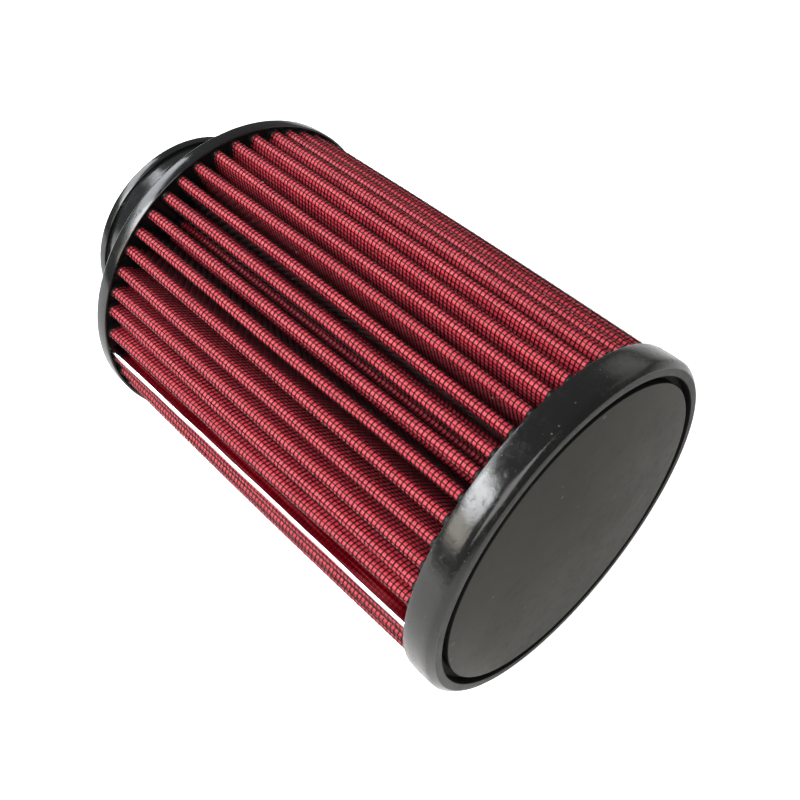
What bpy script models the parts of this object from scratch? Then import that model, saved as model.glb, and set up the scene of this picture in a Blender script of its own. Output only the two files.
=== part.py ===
"""Round clamp-on air filter with a pleated, oiled cotton-gauze pack.

The filter lies on its side. Its axis is +X: the neck's mouth is at the origin and the
closed end is at the far end. +Z is up. Metres throughout.
"""

import math

import bmesh
import bpy

MM = 0.001

# Clearances
SEAT_GAP = 0.3 * MM        # left between pieces that sit on each other
PLY_GAP = 0.12 * MM        # left between neighbouring plies of the pack

# Open end: a moulded neck with a lip, and the ring that holds the pack
NECK_BORE_RADIUS = 35.0 * MM
NECK_WALL = 4.9 * MM
NECK_LENGTH = 32.4 * MM
LIP_HEIGHT = 0.9 * MM      # how far the lip stands out from the neck
LIP_WIDTH = 3.7 * MM
LIP_EDGE = 0.3 * MM
LIP_GROOVE_WIDTH = 0.9 * MM
LIP_GROOVE_DEPTH = 0.3 * MM
MOUTH_EDGE = 0.5 * MM
OPEN_RIM_WALL = 0.9 * MM   # wall outside the pack's crests
OPEN_RING_WIDTH = 5.6 * MM
OPEN_RING_FLOOR = 2.0 * MM
SHOULDER_FILLET = 2.2 * MM

# Closed end: a moulded ring with a recess for a flat plate
CLOSED_RIM_WALL = 1.15 * MM
CLOSED_RING_WIDTH = 11.5 * MM
CLOSED_RING_BULGE = 0.35 * MM
CLOSED_RING_CORNER = 1.8 * MM
CLOSED_FACE_WIDTH = 4.8 * MM   # from the ring's outside to the groove round the plate
CLOSED_FLOOR = 3.0 * MM
CLOSED_INNER_LIP_WALL = 1.6 * MM
PLATE_THICKNESS = 3.0 * MM
PLATE_GROOVE = 2.4 * MM
PLATE_EDGE = 0.3 * MM

# Both rings
RIM_EDGE = 0.3 * MM
INNER_LIP_HEIGHT = 1.5 * MM    # raised floor inside the pack's roots

# Pack
PACK_LENGTH_SHOWN = 153.5 * MM
CREST_RADIUS = 60.7 * MM
PLEAT_DEPTH = 15.5 * MM
PLEATS = 49
SEAM_ANGLE = math.radians(2.8)        # from -Y towards +Z
SEAM_TO_FIRST = math.radians(10.3)    # seam to the first crest
SEAM_TO_LAST = math.radians(5.2)      # last crest to the seam
CREST_OPENING = 0.27 * MM  # half the space between a crest's two legs
ROOT_OPENING = 0.13 * MM   # half the space between a root's two legs
SCREEN_THICKNESS = 0.25 * MM
PLY_THICKNESS = 0.14 * MM
GAUZE_PLIES = 4

# Seam clip: a folded metal channel over the pack's two ends
CLIP_WALL = 0.35 * MM
CLIP_DEPTH = 8.5 * MM
CLIP_CORNER = 0.6 * MM

TURN_STEPS = 64
ARC_STEPS = 3

# Places along the axis, from the neck's mouth
OPEN_FLOOR_X = NECK_LENGTH + OPEN_RING_FLOOR
OPEN_RIM_X = NECK_LENGTH + OPEN_RING_WIDTH
CLOSED_RIM_X = OPEN_RIM_X + PACK_LENGTH_SHOWN
CLOSED_FACE_X = CLOSED_RIM_X + CLOSED_RING_WIDTH
RECESS_X = CLOSED_FACE_X - PLATE_THICKNESS - SEAT_GAP
CLOSED_FLOOR_X = RECESS_X - CLOSED_FLOOR
PACK_START_X = OPEN_FLOOR_X + SEAT_GAP
PACK_END_X = CLOSED_FLOOR_X - SEAT_GAP

# The pack's layers, from the outside in
STACK = 2 * SCREEN_THICKNESS + GAUZE_PLIES * PLY_THICKNESS + (GAUZE_PLIES + 1) * PLY_GAP
STACK_CREST = CREST_RADIUS - STACK / 2
STACK_ROOT = STACK_CREST - PLEAT_DEPTH
RIM_INNER_RADIUS = CREST_RADIUS + SEAT_GAP
ROOT_INNER_RADIUS = STACK_ROOT - STACK / 2 - SEAT_GAP

# Radii that follow from the neck and the pack
NECK_RADIUS = NECK_BORE_RADIUS + NECK_WALL
LIP_RADIUS = NECK_RADIUS + LIP_HEIGHT
OPEN_RING_RADIUS = RIM_INNER_RADIUS + OPEN_RIM_WALL
CLOSED_EDGE_RADIUS = RIM_INNER_RADIUS + CLOSED_RIM_WALL
CLOSED_RING_RADIUS = CLOSED_EDGE_RADIUS + CLOSED_RING_BULGE
RECESS_RADIUS = CLOSED_RING_RADIUS - CLOSED_FACE_WIDTH
PLATE_RADIUS = RECESS_RADIUS - PLATE_GROOVE


def clear_scene():
    for item in list(bpy.data.objects):
        bpy.data.objects.remove(item, do_unlink=True)


def finish(name, color, roughness, metallic=0.0):
    material = bpy.data.materials.new(name)
    material.use_nodes = True
    shader = material.node_tree.nodes["Principled BSDF"]
    shader.inputs["Base Color"].default_value = (*color, 1.0)
    shader.inputs["Roughness"].default_value = roughness
    shader.inputs["Metallic"].default_value = metallic
    return material


def add_object(name, mesh, material, collection):
    """Puts a mesh modelled round local Z on the filter's axis, so that local Z is +X."""
    mesh.materials.append(material)
    item = bpy.data.objects.new(name, mesh)
    item.rotation_euler = (0.0, math.pi / 2, 0.0)
    collection.objects.link(item)
    return item


def arc(center, radius, start, end, steps=ARC_STEPS):
    """Points of an arc in the (radius, height) plane, angles in degrees, both ends included."""
    points = []
    for i in range(steps + 1):
        angle = math.radians(start + (end - start) * i / steps)
        points.append((center[0] + radius * math.cos(angle), center[1] + radius * math.sin(angle)))
    return points


def turned(name, profile, closed, material, collection):
    """A solid of revolution from (radius, height) points that run down the outer side."""
    work = bmesh.new()
    verts = [work.verts.new((r, 0.0, h)) for r, h in profile]
    for a, b in zip(verts, verts[1:]):
        work.edges.new((a, b))
    if closed:
        work.edges.new((verts[-1], verts[0]))
    mesh = bpy.data.meshes.new(name)
    work.to_mesh(mesh)
    work.free()
    item = add_object(name, mesh, material, collection)
    screw = item.modifiers.new("Turn", "SCREW")
    screw.axis = "Z"
    screw.angle = 2 * math.pi
    screw.steps = TURN_STEPS
    screw.render_steps = TURN_STEPS
    screw.use_merge_vertices = True
    screw.merge_threshold = 0.00001
    screw.use_smooth_shade = True
    return item


def section_point(radius, angle, lateral=0.0):
    """A point of the cross-section: angle runs from -Y to +Z, lateral is towards larger angles."""
    radial = (-math.sin(angle), -math.cos(angle))
    tangent = (-math.cos(angle), math.sin(angle))
    return (
        radial[0] * radius + tangent[0] * lateral,
        radial[1] * radius + tangent[1] * lateral,
    )


def offset_path(points, distance):
    """Moves an open path sideways, with mitred corners. Positive is away from the axis."""
    normals = []
    for (ax, ay), (bx, by) in zip(points, points[1:]):
        length = math.hypot(bx - ax, by - ay)
        normals.append((-(by - ay) / length, (bx - ax) / length))
    moved = []
    for i, (x, y) in enumerate(points):
        before = normals[max(i - 1, 0)]
        after = normals[min(i, len(normals) - 1)]
        scale = distance / (1 + before[0] * after[0] + before[1] * after[1])
        moved.append((x + (before[0] + after[0]) * scale, y + (before[1] + after[1]) * scale))
    return moved


def extruded_sheet(name, path, start_x, end_x, thickness, material, collection):
    """An open path drawn out along the axis and given a thickness, half to each side."""
    work = bmesh.new()
    verts = [work.verts.new((x, y, start_x)) for x, y in path]
    edges = [work.edges.new(pair) for pair in zip(verts, verts[1:])]
    drawn = bmesh.ops.extrude_edge_only(work, edges=edges)
    raised = [g for g in drawn["geom"] if isinstance(g, bmesh.types.BMVert)]
    bmesh.ops.translate(work, verts=raised, vec=(0.0, 0.0, end_x - start_x))
    bmesh.ops.recalc_face_normals(work, faces=work.faces)
    mesh = bpy.data.meshes.new(name)
    work.to_mesh(mesh)
    work.free()
    item = add_object(name, mesh, material, collection)
    wall = item.modifiers.new("Wall", "SOLIDIFY")
    wall.thickness = thickness
    wall.offset = 0.0
    wall.use_even_offset = True
    return item


def pleat_path():
    """The middle of the pack's layers: from the seam, once round through every pleat, to the seam."""
    half_seam = STACK / 2 + PLY_GAP / 2
    crest_half = STACK / 2 + CREST_OPENING
    root_half = STACK / 2 + ROOT_OPENING
    tail_top = CREST_RADIUS - CLIP_WALL - SEAT_GAP
    tail_foot = CREST_RADIUS - CLIP_DEPTH
    first = SEAM_ANGLE + SEAM_TO_FIRST
    last = SEAM_ANGLE + 2 * math.pi - SEAM_TO_LAST
    pitch = (last - first) / (PLEATS - 1)
    crests = [first + pitch * i for i in range(PLEATS)]
    roots = [SEAM_ANGLE + SEAM_TO_FIRST / 2]
    roots += [angle + pitch / 2 for angle in crests[:-1]]
    roots.append(last + SEAM_TO_LAST / 2)
    path = [
        section_point(tail_top, SEAM_ANGLE, half_seam),
        section_point(tail_foot, SEAM_ANGLE, half_seam),
    ]
    for i, root in enumerate(roots):
        path += [section_point(STACK_ROOT, root, side) for side in (-root_half, root_half)]
        if i < PLEATS:
            path += [section_point(STACK_CREST, crests[i], side) for side in (-crest_half, crest_half)]
    path.append(section_point(tail_foot, SEAM_ANGLE, -half_seam))
    path.append(section_point(tail_top, SEAM_ANGLE, -half_seam))
    return path


def rim_trough(rim_x, floor_x, outer_radius, lip_inner_radius):
    """The side of a ring that faces the pack, from its outer edge to the inside of its lip.

    A pack end stands in the trough between the rim and the low lip inside the roots."""
    side = 1 if rim_x > floor_x else -1
    lip_top = floor_x + side * INNER_LIP_HEIGHT
    return [
        (outer_radius, rim_x - side * RIM_EDGE),
        (outer_radius - RIM_EDGE, rim_x),
        (RIM_INNER_RADIUS, rim_x),
        (RIM_INNER_RADIUS, floor_x),
        (ROOT_INNER_RADIUS, floor_x),
        (ROOT_INNER_RADIUS, lip_top),
        (lip_inner_radius, lip_top),
    ]


def open_end_moulding(collection):
    rubber = finish("open_end_polyurethane", (0.02, 0.021, 0.022), 0.32)
    rim = rim_trough(OPEN_RIM_X, OPEN_FLOOR_X, OPEN_RING_RADIUS, NECK_BORE_RADIUS)
    groove_x = LIP_WIDTH + LIP_GROOVE_WIDTH
    groove_radius = NECK_RADIUS - LIP_GROOVE_DEPTH
    profile = [rim[1], rim[0]]
    corner = (OPEN_RING_RADIUS - OPEN_RIM_WALL, NECK_LENGTH + OPEN_RIM_WALL)
    profile += arc(corner, OPEN_RIM_WALL, 0, -90)
    fillet_center = (NECK_RADIUS + SHOULDER_FILLET, NECK_LENGTH - SHOULDER_FILLET)
    profile += arc(fillet_center, SHOULDER_FILLET, 90, 180)
    profile += [
        (NECK_RADIUS, groove_x),
        (groove_radius, groove_x),
        (groove_radius, LIP_WIDTH),
        (LIP_RADIUS - LIP_EDGE, LIP_WIDTH),
        (LIP_RADIUS, LIP_WIDTH - LIP_EDGE),
    ]
    profile += arc((LIP_RADIUS - MOUTH_EDGE, MOUTH_EDGE), MOUTH_EDGE, 0, -90)
    profile += [
        (NECK_BORE_RADIUS + MOUTH_EDGE, 0.0),
        (NECK_BORE_RADIUS, MOUTH_EDGE),
    ]
    profile += list(reversed(rim[2:]))
    return turned("open_end_moulding", profile, True, rubber, collection)


def closed_end_moulding(collection):
    rubber = finish("closed_end_polyurethane", (0.02, 0.021, 0.022), 0.28)
    lip_inner_radius = ROOT_INNER_RADIUS - CLOSED_INNER_LIP_WALL
    rim = rim_trough(CLOSED_RIM_X, CLOSED_FLOOR_X, CLOSED_EDGE_RADIUS, lip_inner_radius)
    middle_x = (CLOSED_RIM_X + CLOSED_FACE_X) / 2
    profile = [(0.0, RECESS_X), (RECESS_RADIUS, RECESS_X), (RECESS_RADIUS, CLOSED_FACE_X)]
    corner = (CLOSED_EDGE_RADIUS - CLOSED_RING_CORNER, CLOSED_FACE_X - CLOSED_RING_CORNER)
    profile += arc(corner, CLOSED_RING_CORNER, 90, 0, 4)
    profile += [
        (CLOSED_RING_RADIUS - CLOSED_RING_BULGE / 4, (middle_x + CLOSED_FACE_X) / 2),
        (CLOSED_RING_RADIUS, middle_x),
        (CLOSED_RING_RADIUS - CLOSED_RING_BULGE / 4, (middle_x + CLOSED_RIM_X) / 2),
    ]
    profile += rim
    profile += [(lip_inner_radius, CLOSED_FLOOR_X), (0.0, CLOSED_FLOOR_X)]
    return turned("closed_end_moulding", profile, False, rubber, collection)


def end_plate(collection):
    satin = finish("end_plate_satin", (0.06, 0.06, 0.062), 0.38)
    back_x = RECESS_X + SEAT_GAP
    profile = [
        (0.0, CLOSED_FACE_X),
        (PLATE_RADIUS - PLATE_EDGE, CLOSED_FACE_X),
        (PLATE_RADIUS, CLOSED_FACE_X - PLATE_EDGE),
        (PLATE_RADIUS, back_x),
        (0.0, back_x),
    ]
    return turned("end_plate", profile, False, satin, collection)


def media_pack(collection):
    """Two wire screens with the gauze plies between them, one inside the other."""
    screen = finish("screen_black_epoxy", (0.03, 0.028, 0.028), 0.4, 0.3)
    gauze = finish("gauze_red_oiled", (0.55, 0.05, 0.08), 0.6)
    middle = pleat_path()
    layers = [("outer_screen", SCREEN_THICKNESS, screen)]
    layers += [(f"gauze_ply_{i + 1}", PLY_THICKNESS, gauze) for i in range(GAUZE_PLIES)]
    layers.append(("inner_screen", SCREEN_THICKNESS, screen))
    outside = STACK / 2
    for name, thickness, material in layers:
        path = offset_path(middle, outside - thickness / 2)
        extruded_sheet(name, path, PACK_START_X, PACK_END_X, thickness, material.copy(), collection)
        outside -= thickness + PLY_GAP


def seam_clip(collection):
    bright = finish("seam_clip_aluminium", (0.85, 0.85, 0.84), 0.2, 1.0)
    half = STACK + PLY_GAP / 2 + PLY_GAP + CLIP_WALL / 2
    crown = CREST_RADIUS - CLIP_WALL / 2
    foot = CREST_RADIUS - CLIP_DEPTH + STACK / 2
    outline = [(foot, -half)]
    center = crown - CLIP_CORNER
    for i in range(ARC_STEPS + 1):
        turn = math.pi / 2 * i / ARC_STEPS
        lateral = half - CLIP_CORNER + CLIP_CORNER * math.cos(turn)
        outline.append((center + CLIP_CORNER * math.sin(turn), -lateral))
    outline += [(radius, -lateral) for radius, lateral in reversed(outline)]
    path = [section_point(radius, SEAM_ANGLE, lateral) for radius, lateral in outline]
    extruded_sheet("seam_clip", path, PACK_START_X, PACK_END_X, CLIP_WALL, bright, collection)


def main():
    clear_scene()
    collection = bpy.data.collections.new("air_filter")
    bpy.context.scene.collection.children.link(collection)
    open_end_moulding(collection)
    closed_end_moulding(collection)
    end_plate(collection)
    media_pack(collection)
    seam_clip(collection)


main()
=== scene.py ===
import math
import random

import bpy
import numpy as np
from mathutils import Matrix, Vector


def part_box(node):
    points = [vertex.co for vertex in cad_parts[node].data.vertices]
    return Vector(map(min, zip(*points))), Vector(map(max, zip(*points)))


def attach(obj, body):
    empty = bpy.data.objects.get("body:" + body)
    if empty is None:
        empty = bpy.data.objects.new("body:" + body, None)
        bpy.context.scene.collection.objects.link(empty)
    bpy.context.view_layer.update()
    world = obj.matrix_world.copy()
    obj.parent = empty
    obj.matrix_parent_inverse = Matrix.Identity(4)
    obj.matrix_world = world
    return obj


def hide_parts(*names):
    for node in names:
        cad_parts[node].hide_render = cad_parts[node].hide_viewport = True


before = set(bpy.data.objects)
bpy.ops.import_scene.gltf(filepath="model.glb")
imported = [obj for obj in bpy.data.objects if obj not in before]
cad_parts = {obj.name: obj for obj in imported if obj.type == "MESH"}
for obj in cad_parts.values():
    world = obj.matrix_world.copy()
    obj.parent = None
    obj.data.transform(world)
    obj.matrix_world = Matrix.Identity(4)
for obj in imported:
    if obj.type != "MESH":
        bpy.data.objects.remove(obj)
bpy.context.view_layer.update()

mm = 0.001


def leaveEdit():
    bpy.ops.object.mode_set(mode="OBJECT")


def deselectAll():
    if bpy.context.object and bpy.context.object.mode != "OBJECT":
        leaveEdit()
    bpy.ops.object.select_all(action="DESELECT")


def makeActive(piece):
    deselectAll()
    piece.select_set(True)
    bpy.context.view_layer.objects.active = piece


def pick(piece, kind, test):  # leaves the piece in edit mode with only these parts selected
    bpy.ops.object.mode_set(mode="EDIT")
    bpy.ops.mesh.select_mode(type=kind)
    bpy.ops.mesh.select_all(action="DESELECT")
    leaveEdit()
    mesh = piece.data
    parts = {"VERT": mesh.vertices, "EDGE": mesh.edges, "FACE": mesh.polygons}[kind]
    for part in parts:
        part.select = bool(test(part))
    bpy.ops.object.mode_set(mode="EDIT")


def editAll(piece=None):  # this piece or else the active one, with everything selected
    if piece:
        makeActive(piece)
    bpy.ops.object.mode_set(mode="EDIT")
    bpy.ops.mesh.select_all(action="SELECT")


def edgeMiddle(piece, edge):
    a, b = (piece.data.vertices[i].co for i in edge.vertices)
    return (a + b) / 2


def settle(piece):  # the place goes into the mesh, so the object sits unturned at the origin
    makeActive(piece)
    bpy.ops.object.transform_apply(location=True, rotation=True, scale=True)


def modifier(piece, kind, **values):
    made = piece.modifiers.new(kind.title(), kind)
    for key, value in values.items():
        setattr(made, key, value)
    makeActive(piece)
    bpy.ops.object.modifier_apply(modifier=made.name)


def copyOf(piece, name):  # a copy with a mesh of its own
    twin = piece.copy()
    twin.data = piece.data.copy()
    twin.name = twin.data.name = name
    bpy.context.scene.collection.objects.link(twin)
    return twin


def joinAll(pieces, keeper):  # the others' meshes go into the keeper, which is one of the pieces
    deselectAll()
    for piece in pieces:
        piece.select_set(True)
    bpy.context.view_layer.objects.active = keeper
    bpy.ops.object.join()
    return keeper


def points(piece):
    spots = np.zeros(len(piece.data.vertices) * 3)
    piece.data.vertices.foreach_get("co", spots)
    return spots.reshape(-1, 3)


def setPoints(piece, spots):
    piece.data.vertices.foreach_set("co", spots.astype(np.float32).ravel())
    piece.data.update()


def onFilter(piece, slot, material, *nodes):  # everything here rides on the one body
    piece.data.materials.clear()
    piece.data.materials.append(material)
    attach(piece, "root")
    if nodes:
        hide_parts(*nodes)


packLow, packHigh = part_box("outer_screen")
openLow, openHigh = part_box("open_end_moulding")
closedLow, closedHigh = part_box("closed_end_moulding")
plateLow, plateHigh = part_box("end_plate")
floorZ = min(closedLow.z, openLow.z)

print("frame read:", len(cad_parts), "nodes")


view = {
    "azimuth": 46.3,           # from +Y towards -X, so the closed end faces us
    "elevation": 45.9,
    "fromClosedFace": (0.0951, -0.1628, 0.2717),
    "lens": 46.85,
    "shift": (-0.0072, -0.0708),
}


def addCamera():
    deselectAll()
    face = Vector((closedHigh.x, 0, 0))
    bpy.ops.object.camera_add(location=face + Vector(view["fromClosedFace"]))
    camera = bpy.context.object
    camera.name = "viewCamera"
    camera.rotation_euler = (math.radians(90 - view["elevation"]), 0, math.radians(view["azimuth"]))
    camera.data.lens = view["lens"]
    camera.data.shift_x, camera.data.shift_y = view["shift"]
    camera.data.clip_start = 0.01
    bpy.context.scene.camera = camera


studio = {
    "floorSize": 6.0,
    "floorColour": (0.88, 0.88, 0.87),
    "floorGlow": 0.62,                     # extra for the camera alone, so shadows stay pale
    "worldColour": (0.84, 0.84, 0.82),
    "worldStrength": 0.22,
    "lights": {                            # direction, distance, size, power, colour
        "windowLight": ((-0.40, -0.66, 0.64), 1.1, (0.55, 0.40), 12, (0.97, 0.985, 1.0)),
        "sideWindowLight": ((-0.74, -0.25, 0.62), 1.1, (0.75, 0.35), 6.5, (0.93, 0.96, 1.0)),
        "lowWindowLight": ((-0.38, -0.86, 0.34), 1.3, (0.55, 0.30), 3.0, (1.0, 0.95, 0.82)),
        "fillLight": ((0.53, -0.50, 0.68), 1.3, (1.1, 1.1), 15, (1.0, 0.985, 0.97)),
        "backLight": ((0.1, 0.9, 0.35), 2.2, (2.4, 1.0), 5, (1.0, 0.99, 0.97)),
    },
}


def areaLight(name, direction, distance, size, power, colour):
    deselectAll()
    target = Vector(((openLow.x + closedHigh.x) / 2, 0, 0))
    towards = Vector(direction).normalized()
    bpy.ops.object.light_add(type="AREA", location=target + towards * distance)
    lamp = bpy.context.object
    lamp.name = name
    lamp.rotation_euler = towards.to_track_quat("Z", "Y").to_euler()
    lamp.data.shape = "RECTANGLE"
    lamp.data.size, lamp.data.size_y = size
    lamp.data.energy = power
    lamp.data.color = colour


def addStudio():
    deselectAll()
    bpy.ops.mesh.primitive_plane_add(size=studio["floorSize"], location=(0.1, 0, floorZ - 0.05 * mm))
    floor = bpy.context.object
    floor.name = "studioFloor"
    settle(floor)
    paint = bpy.data.materials.new("paleFloor")
    paint.use_nodes = True
    shader = paint.node_tree.nodes["Principled BSDF"]
    shader.inputs["Base Color"].default_value = (*studio["floorColour"], 1)
    shader.inputs["Roughness"].default_value = 0.9
    shader.inputs["Specular IOR Level"].default_value = 0.1
    shader.inputs["Emission Color"].default_value = (1, 1, 1, 1)
    path = paint.node_tree.nodes.new("ShaderNodeLightPath")
    glow = paint.node_tree.nodes.new("ShaderNodeMath")
    glow.operation = "MULTIPLY"
    glow.inputs[1].default_value = studio["floorGlow"]
    paint.node_tree.links.new(path.outputs["Is Camera Ray"], glow.inputs[0])
    paint.node_tree.links.new(glow.outputs[0], shader.inputs["Emission Strength"])
    floor.data.materials.append(paint)
    world = bpy.data.worlds.new("studioAir")
    world.use_nodes = True
    air = world.node_tree.nodes["Background"]
    air.inputs["Color"].default_value = (*studio["worldColour"], 1)
    air.inputs["Strength"].default_value = studio["worldStrength"]
    bpy.context.scene.world = world
    for name, (direction, distance, size, power, colour) in studio["lights"].items():
        areaLight(name, direction, distance, size, power, colour)
    bpy.context.scene.view_settings.view_transform = "Standard"


addCamera()
addStudio()
print("camera, floor and lights set")


def newGroup(name, inputs, outputs):
    group = bpy.data.node_groups.new(name, "ShaderNodeTree")
    for title, kind, value in inputs:
        socket = group.interface.new_socket(name=title, in_out="INPUT", socket_type=kind)
        if value is not None:
            socket.default_value = value
    for title, kind in outputs:
        group.interface.new_socket(name=title, in_out="OUTPUT", socket_type=kind)
    return group, group.nodes.new("NodeGroupInput"), group.nodes.new("NodeGroupOutput")


def addNode(tree, kind, inputs=None, **settings):
    node = tree.nodes.new(kind)
    for key, value in settings.items():
        setattr(node, key, value)
    for key, value in (inputs or {}).items():
        if isinstance(value, bpy.types.NodeSocket):
            tree.links.new(value, node.inputs[key])
        else:
            node.inputs[key].default_value = value
    return node


def mathNode(tree, operation, a, b=0.0, clamp=False):
    return addNode(tree, "ShaderNodeMath", {0: a, 1: b}, operation=operation, use_clamp=clamp).outputs[0]


def rampNode(tree, value, low, high):  # low goes to 0 and high to 1
    return addNode(tree, "ShaderNodeMapRange",
                   {"Value": value, "From Min": low, "From Max": high}).outputs[0]


def spreadNode(tree, value, low, high):  # 0 goes to low and 1 to high
    return addNode(tree, "ShaderNodeMapRange", {"Value": value, "To Min": low, "To Max": high}).outputs[0]


def mixColours(tree, mask, a, b):
    blend = addNode(tree, "ShaderNodeMix", {0: mask, 6: a, 7: b}, data_type="RGBA")
    return blend.outputs[2]


def buildScuffs():  # dull patches, hairline scratches and specks of many sizes
    group, given, made = newGroup("mouldingScuffs", [
        ("Vector", "NodeSocketVector", None),
        ("Patch Scale", "NodeSocketFloat", 60.0),
        ("Scratch Scale", "NodeSocketFloat", 220.0),
        ("Speck Scale", "NodeSocketFloat", 900.0),
        ("Speck Rarity", "NodeSocketFloat", 0.9),
    ], [("Patches", "NodeSocketFloat"), ("Scratches", "NodeSocketFloat"),
        ("Specks", "NodeSocketFloat"), ("Height", "NodeSocketFloat")])
    place = given.outputs["Vector"]
    cloud = addNode(group, "ShaderNodeTexNoise", {
        "Vector": place, "Scale": given.outputs["Patch Scale"], "Detail": 5.0, "Roughness": 0.6})
    grime = addNode(group, "ShaderNodeTexNoise", {
        "Vector": place, "Scale": mathNode(group, "MULTIPLY", given.outputs["Patch Scale"], 7.0),
        "Detail": 4.0, "Roughness": 0.65})
    broad = mathNode(group, "MULTIPLY", rampNode(group, cloud.outputs[0], 0.42, 0.68), 0.5)
    small = mathNode(group, "MULTIPLY", rampNode(group, grime.outputs[0], 0.50, 0.70), 0.5)
    patches = mathNode(group, "ADD", broad, small)
    stretched = addNode(group, "ShaderNodeMapping", {"Vector": place, "Rotation": (0.5, 0.3, 0.9),
                                                     "Scale": (1.0, 0.06, 0.6)})
    fine = addNode(group, "ShaderNodeTexNoise", {
        "Vector": stretched.outputs[0], "Scale": given.outputs["Scratch Scale"], "Detail": 3.0,
        "Roughness": 0.7, "Distortion": 0.2})
    scratches = rampNode(group, fine.outputs[0], 0.66, 0.72)
    cells = addNode(group, "ShaderNodeTexVoronoi", {
        "Vector": place, "Scale": given.outputs["Speck Scale"], "Randomness": 1.0})
    rare = addNode(group, "ShaderNodeSeparateColor", {0: cells.outputs["Color"]})
    speckSize = mathNode(group, "ADD", mathNode(group, "MULTIPLY", rare.outputs[1], 0.75), 0.25)
    dots = rampNode(group, mathNode(group, "DIVIDE", cells.outputs["Distance"], speckSize), 0.26, 0.16)
    chosen = mathNode(group, "GREATER_THAN", rare.outputs[0], given.outputs["Speck Rarity"])
    specks = mathNode(group, "MULTIPLY", dots, chosen, True)
    pebble = addNode(group, "ShaderNodeTexNoise", {
        "Vector": place, "Scale": mathNode(group, "MULTIPLY", given.outputs["Patch Scale"], 26.0),
        "Detail": 5.0, "Roughness": 0.75})
    swell = mathNode(group, "ADD", mathNode(group, "MULTIPLY", grime.outputs[0], 0.25),
                     mathNode(group, "MULTIPLY", pebble.outputs[0], 0.10))
    height = mathNode(group, "SUBTRACT", swell, mathNode(group, "MULTIPLY", scratches, 0.25))
    height = mathNode(group, "SUBTRACT", height, mathNode(group, "MULTIPLY", specks, 0.6))
    for title, socket in (("Patches", patches), ("Scratches", scratches), ("Specks", specks),
                          ("Height", height)):
        group.links.new(socket, made.inputs[title])
    return group


def buildThreads():  # cotton threads both ways, in metres of the flat cloth
    group, given, made = newGroup("gauzeThreads", [
        ("Flat", "NodeSocketVector", None),
        ("Thread Pitch", "NodeSocketFloat", 0.00053),
        ("Cell Length", "NodeSocketFloat", 0.0016),
        ("Cell Width", "NodeSocketFloat", 0.0016),
    ], [("Threads", "NodeSocketFloat"), ("Blotches", "NodeSocketFloat"), ("Edges", "NodeSocketFloat")])
    flat = given.outputs["Flat"]
    wander = addNode(group, "ShaderNodeTexNoise", {"Vector": flat, "Scale": 700.0, "Detail": 2.0})
    drift = addNode(group, "ShaderNodeVectorMath", {0: wander.outputs["Color"], 3: 0.00022},
                    operation="SCALE")
    shifted = addNode(group, "ShaderNodeVectorMath", {0: flat, 1: drift.outputs[0]}, operation="ADD")
    parts = addNode(group, "ShaderNodeSeparateXYZ", {0: shifted.outputs[0]})
    waves = []
    for axis in (0, 1):
        turns = mathNode(group, "DIVIDE", parts.outputs[axis], given.outputs["Thread Pitch"])
        wave = mathNode(group, "SINE", mathNode(group, "MULTIPLY", turns, 2 * math.pi))
        waves.append(mathNode(group, "MULTIPLY_ADD", wave, 0.5))
        waves[-1].node.inputs[2].default_value = 0.5
    threads = mathNode(group, "MAXIMUM", waves[0], waves[1])
    blots = addNode(group, "ShaderNodeTexNoise", {"Vector": flat, "Scale": 90.0, "Detail": 4.0,
                                                  "Roughness": 0.6})
    whole = addNode(group, "ShaderNodeSeparateXYZ", {0: flat})
    edges = []
    for axis, side in ((0, "Cell Length"), (1, "Cell Width")):  # painted shade of the wires, with some oil, gathers along them
        half = mathNode(group, "MULTIPLY", given.outputs[side], 0.5)
        gap = mathNode(group, "PINGPONG", whole.outputs[axis], half)
        edges.append(rampNode(group, gap, 0.00038, 0.00014))
    faint = mathNode(group, "MULTIPLY", edges[1], 0.45)      # less of it along the lengthwise wires
    group.links.new(mathNode(group, "MAXIMUM", edges[0], faint), made.inputs["Edges"])
    group.links.new(threads, made.inputs["Threads"])
    group.links.new(rampNode(group, blots.outputs[0], 0.3, 0.7), made.inputs["Blotches"])
    return group


scuffGroup = buildScuffs()
threadGroup = buildThreads()


def newMaterial(name):
    material = bpy.data.materials.new(name)
    material.use_nodes = True
    tree = material.node_tree
    return material, tree, tree.nodes["Principled BSDF"]


def bumpFrom(tree, height, strength, distance):
    return addNode(tree, "ShaderNodeBump", {"Height": height, "Strength": strength,
                                            "Distance": distance}).outputs[0]


def objectPlace(tree):
    return addNode(tree, "ShaderNodeTexCoord").outputs["Object"]


def mouldedRubber(name, settings):
    material, tree, shader = newMaterial(name)
    marks = addNode(tree, "ShaderNodeGroup", node_tree=scuffGroup)
    tree.links.new(objectPlace(tree), marks.inputs["Vector"])
    for key in ("Patch Scale", "Scratch Scale", "Speck Scale", "Speck Rarity"):
        marks.inputs[key].default_value = settings[key]
    dust = mathNode(tree, "MAXIMUM", mathNode(tree, "MULTIPLY", marks.outputs["Scratches"], 0.7),
                    mathNode(tree, "MULTIPLY", marks.outputs["Specks"], 0.5))
    colour = mixColours(tree, dust, (*settings["colour"], 1), (*settings["scuffColour"], 1))
    rough = spreadNode(tree, marks.outputs["Patches"], settings["gloss"], settings["dull"])
    rough = mathNode(tree, "ADD", rough, mathNode(tree, "MULTIPLY", dust, 0.2), True)
    tree.links.new(colour, shader.inputs["Base Color"])
    tree.links.new(rough, shader.inputs["Roughness"])
    shader.inputs["Specular IOR Level"].default_value = settings["specular"]
    tree.links.new(bumpFrom(tree, marks.outputs["Height"], settings["bump"], 0.0004),
                   shader.inputs["Normal"])
    return material


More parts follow.
